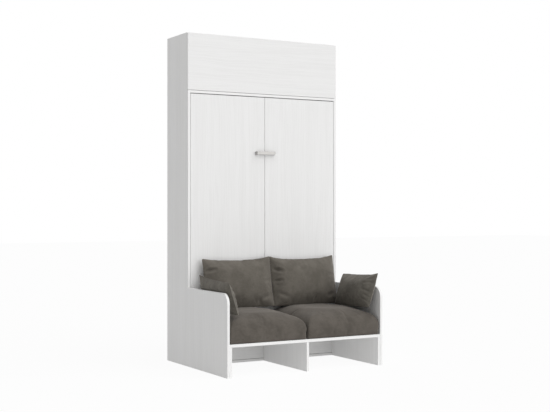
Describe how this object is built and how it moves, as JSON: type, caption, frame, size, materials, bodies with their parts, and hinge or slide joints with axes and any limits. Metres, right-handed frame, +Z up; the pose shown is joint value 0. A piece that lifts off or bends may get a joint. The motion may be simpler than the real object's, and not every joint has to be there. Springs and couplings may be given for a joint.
{
  "type": "wall bed with sofa",
  "caption": "Tall cabinet with a fold-down bed behind its front, a lift-up store above, and a fixed sofa with loose cushions in front.",
  "frame": {"origin": "on the floor, under the middle of the whole footprint", "axes": "+Z up, the sofa looks along -Y, +X to the right of someone facing the sofa"},
  "size_m": [1.376, 1.08, 2.625],
  "materials": {
    "white_ash_board": "melamine with a faint white ash grain",
    "white_ash_front": "melamine with a faint upright white ash grain",
    "back_board": "plain white hardboard",
    "seat_microfibre": "taupe microfibre, brushed nap",
    "pillow_microfibre": "darker taupe microfibre",
    "mattress_cover": "quilted knit",
    "webbing": "woven webbing",
    "satin_nickel": "satin nickel",
    "grey_steel": "powder coat",
    "zinc_steel": "bright zinc",
    "black_cylinder": "black enamel",
    "beech_slat": "laminated beech",
    "dark_plastic": "moulded plastic",
    "rubber_sleeve": "matt rubber"
  },
  "bodies": {
    "cabinet": {"side_panel_left": "white_ash_board", "side_panel_right": "white_ash_board", "bottom_panel": "white_ash_board", "top_panel": "white_ash_board", "back_panel": "back_board", "lower_front_panel": "white_ash_board", "wall_rails": "white_ash_board", "upper_side_left": "white_ash_board", "upper_side_right": "white_ash_board", "upper_bottom_panel": "white_ash_board", "upper_top_panel": "white_ash_board", "upper_back_panel": "back_board", "armrest_left": "white_ash_board", "armrest_right": "white_ash_board", "seat_board": "white_ash_board", "seat_support_left": "white_ash_board", "seat_support_middle": "white_ash_board", "seat_support_right": "white_ash_board", "seat_cushion_left": "seat_microfibre", "seat_cushion_right": "seat_microfibre", "pivot_plate_left": "zinc_steel", "pivot_plate_right": "zinc_steel", "pivot_pins": "zinc_steel", "gas_spring_anchors": "zinc_steel", "cabinet_screws": "zinc_steel", "flap_hinge_arms": "zinc_steel", "latch_body": "dark_plastic"},
    "bed": {"door_left": "white_ash_front", "door_right": "white_ash_front", "door_handle": "satin_nickel", "bed_fasteners": "zinc_steel", "frame_rail_left": "grey_steel", "frame_rail_right": "grey_steel", "frame_cross_tubes": "grey_steel", "slats": "beech_slat", "slat_holders": "dark_plastic", "mattress": "mattress_cover", "mattress_straps": "webbing", "bed_plate_left": "grey_steel", "bed_plate_right": "grey_steel", "leg_brackets": "grey_steel"},
    "foot_leg": {"leg_arms": "grey_steel", "leg_crossbar": "grey_steel", "foot_pads": "rubber_sleeve"},
    "gas_cylinder_left_body": {"gas_cylinder_left": "black_cylinder"},
    "gas_cylinder_right_body": {"gas_cylinder_right": "black_cylinder"},
    "gas_rod_left_body": {"gas_rod_left": "zinc_steel"},
    "gas_rod_right_body": {"gas_rod_right": "zinc_steel"},
    "flap": {"flap_door": "white_ash_board", "flap_hinge_cups": "zinc_steel", "flap_brackets": "zinc_steel"},
    "stay_cylinder_body": {"stay_cylinders": "black_cylinder"},
    "stay_rod_body": {"stay_rods": "zinc_steel"},
    "latch_pin": {"latch_plunger": "zinc_steel"},
    "loose_back_left": {"back_cushion_left": "seat_microfibre"},
    "loose_back_right": {"back_cushion_right": "seat_microfibre"},
    "loose_pillow_left": {"arm_pillow_left": "pillow_microfibre"},
    "loose_pillow_right": {"arm_pillow_right": "pillow_microfibre"}
  },
  "joints": [
    {"name": "bed_fold", "type": "hinge", "parent": "cabinet", "child": "bed", "pos_m": [0, 0.18, 0.505], "axis": [1, 0, 0], "range_deg": [0, 90]},
    {"name": "leg_swing", "type": "hinge", "parent": "bed", "child": "foot_leg", "pos_m": [0, 0.235, 2.114], "axis": [1, 0, 0], "range_deg": [0, 247.5]},
    {"name": "gas_cylinder_turn_left", "type": "hinge", "parent": "cabinet", "child": "gas_cylinder_left_body", "pos_m": [-0.648, 0.47, 1], "axis": [1, 0, 0], "range_deg": [0, 7.7]},
    {"name": "gas_rod_slide_left", "type": "slide", "parent": "gas_cylinder_left_body", "child": "gas_rod_left_body", "axis": [0, -0.4154, -0.9096], "range_m": [-0.18104, 0]},
    {"name": "gas_cylinder_turn_right", "type": "hinge", "parent": "cabinet", "child": "gas_cylinder_right_body", "pos_m": [0.648, 0.47, 1], "axis": [1, 0, 0], "range_deg": [0, 7.7]},
    {"name": "gas_rod_slide_right", "type": "slide", "parent": "gas_cylinder_right_body", "child": "gas_rod_right_body", "axis": [0, -0.4154, -0.9096], "range_m": [-0.18104, 0]},
    {"name": "flap_lift", "type": "hinge", "parent": "cabinet", "child": "flap", "pos_m": [0, 0.16075, 2.622], "axis": [-1, 0, 0], "range_deg": [0, 85]},
    {"name": "stay_cylinder_turn", "type": "hinge", "parent": "cabinet", "child": "stay_cylinder_body", "pos_m": [0, 0.39, 2.302], "axis": [1, 0, 0], "range_deg": [0, 5.03]},
    {"name": "stay_rod_slide", "type": "slide", "parent": "stay_cylinder_body", "child": "stay_rod_body", "axis": [0, -0.687, 0.7266], "range_m": [0, 0.13453]},
    {"name": "latch_push", "type": "slide", "parent": "cabinet", "child": "latch_pin", "axis": [0, -1, 0], "range_m": [0, 0.01]},
    {"name": "back_cushion_lift_left", "type": "hinge", "parent": "cabinet", "child": "loose_back_left", "pos_m": [-0.303, -0.57, 0.43], "axis": [1, 0, 0], "range_deg": [0, 180]},
    {"name": "back_cushion_lift_right", "type": "hinge", "parent": "cabinet", "child": "loose_back_right", "pos_m": [0.303, -0.57, 0.43], "axis": [1, 0, 0], "range_deg": [0, 180]},
    {"name": "arm_pillow_lift_left", "type": "hinge", "parent": "cabinet", "child": "loose_pillow_left", "pos_m": [-0.6, -0.534, 0.36666], "axis": [1, 0, 0], "range_deg": [0, 180]},
    {"name": "arm_pillow_lift_right", "type": "hinge", "parent": "cabinet", "child": "loose_pillow_right", "pos_m": [0.6, -0.534, 0.36666], "axis": [1, 0, 0], "range_deg": [0, 180]}
  ],
  "couplings": [
    {"joint": "leg_swing", "follows": "bed_fold", "ratio": 2.75},
    {"joint": "gas_cylinder_turn_left", "follows": "bed_fold", "ratio": 0.085416},
    {"joint": "gas_rod_slide_left", "follows": "bed_fold", "m_per_rad": -0.11514},
    {"joint": "gas_cylinder_turn_right", "follows": "bed_fold", "ratio": 0.085416},
    {"joint": "gas_rod_slide_right", "follows": "bed_fold", "m_per_rad": -0.11514},
    {"joint": "stay_cylinder_turn", "follows": "flap_lift", "ratio": 0.059153},
    {"joint": "stay_rod_slide", "follows": "flap_lift", "m_per_rad": 0.090593},
    {"joint": "latch_push", "follows": "flap_lift", "m_per_rad": 0.00674},
    {"joint": "back_cushion_lift_left", "follows": "bed_fold", "ratio": 2},
    {"joint": "back_cushion_lift_right", "follows": "bed_fold", "ratio": 2},
    {"joint": "arm_pillow_lift_left", "follows": "bed_fold", "ratio": 2},
    {"joint": "arm_pillow_lift_right", "follows": "bed_fold", "ratio": 2}
  ]
}
